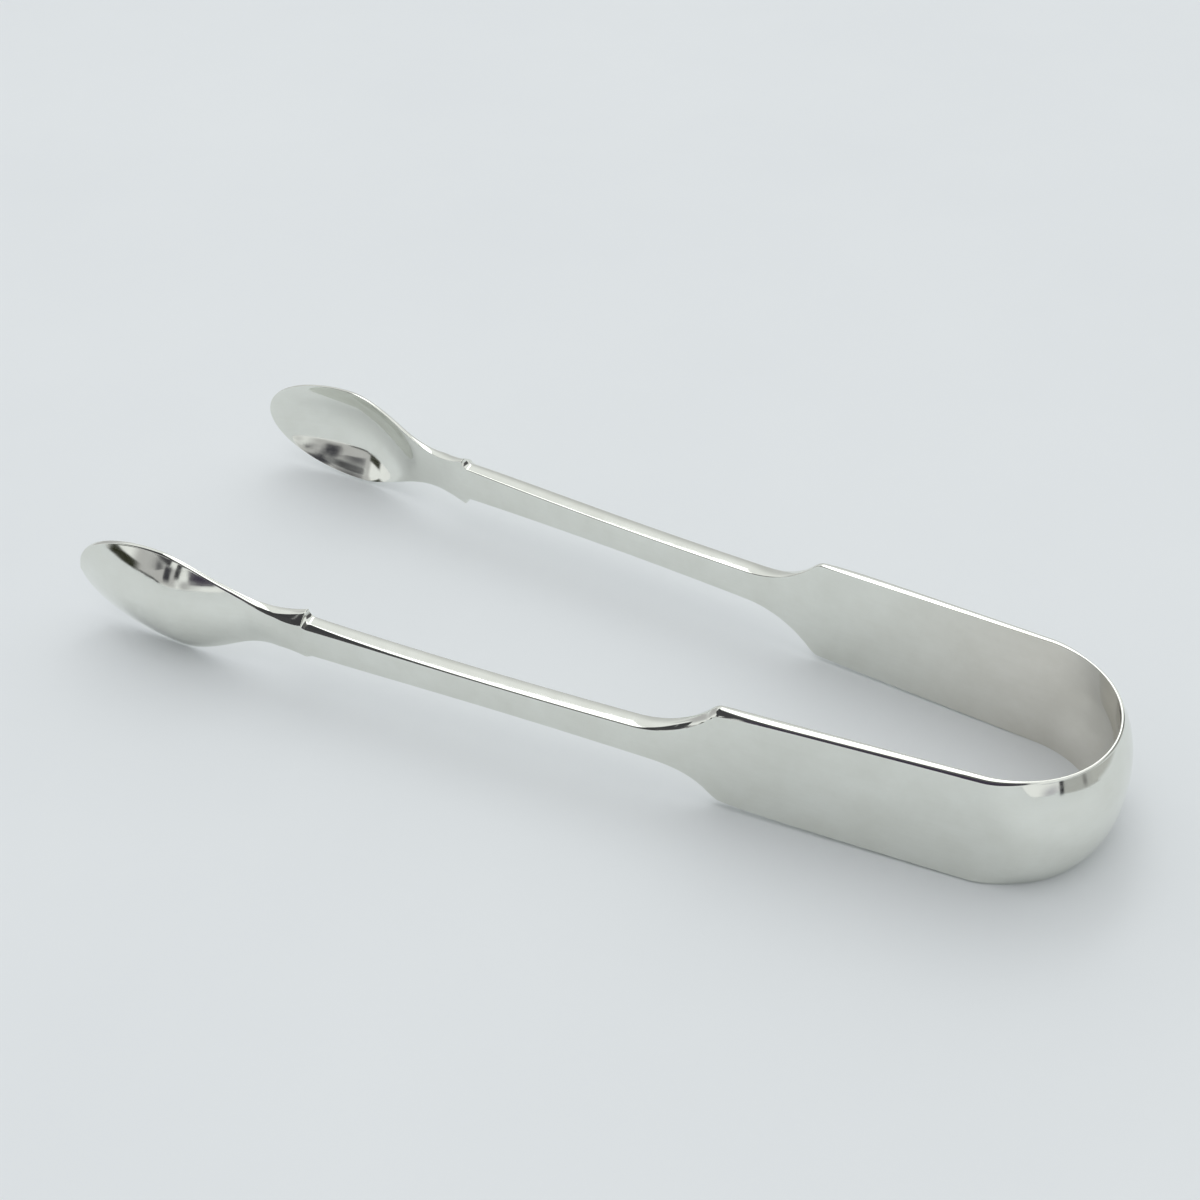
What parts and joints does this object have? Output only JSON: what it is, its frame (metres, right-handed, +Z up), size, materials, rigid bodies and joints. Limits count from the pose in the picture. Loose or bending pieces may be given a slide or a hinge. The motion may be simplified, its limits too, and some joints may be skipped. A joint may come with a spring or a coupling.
{
  "type": "sugar tongs",
  "caption": "Fiddle-pattern sugar tongs: a sprung bow, flat shouldered panels, slim stems with lugs, and egg-shaped spoon bowls that close on a sugar lump.",
  "frame": {"origin": "on the table plane below the middle of the tongs, which lie on their side", "axes": "+X from the bowls to the bow, +Y from the left arm to the right arm, +Z up from the table"},
  "size_m": [0.1418, 0.05, 0.017],
  "materials": {
    "silver": "hand-polished sterling silver with fine wear scratches"
  },
  "bodies": {
    "bow": {"bow_crown": "silver"},
    "left_arm": {"left_bow_leg": "silver", "left_panel": "silver", "left_stem": "silver", "left_bowl": "silver"},
    "right_arm": {"right_bow_leg": "silver", "right_panel": "silver", "right_stem": "silver", "right_bowl": "silver"}
  },
  "joints": [
    {"name": "left_arm_flex", "type": "hinge", "parent": "bow", "child": "left_arm", "pos_m": [0.06491, -0.00884, 0.0085], "axis": [0, 0, -1], "range_deg": [0, 8.8], "stiffness_Nm_per_rad": 1.2},
    {"name": "right_arm_flex", "type": "hinge", "parent": "bow", "child": "right_arm", "pos_m": [0.06491, 0.00884, 0.0085], "axis": [0, 0, 1], "range_deg": [0, 8.8], "stiffness_Nm_per_rad": 1.2}
  ],
  "couplings": [
    {"joint": "right_arm_flex", "follows": "left_arm_flex", "ratio": 1}
  ]
}
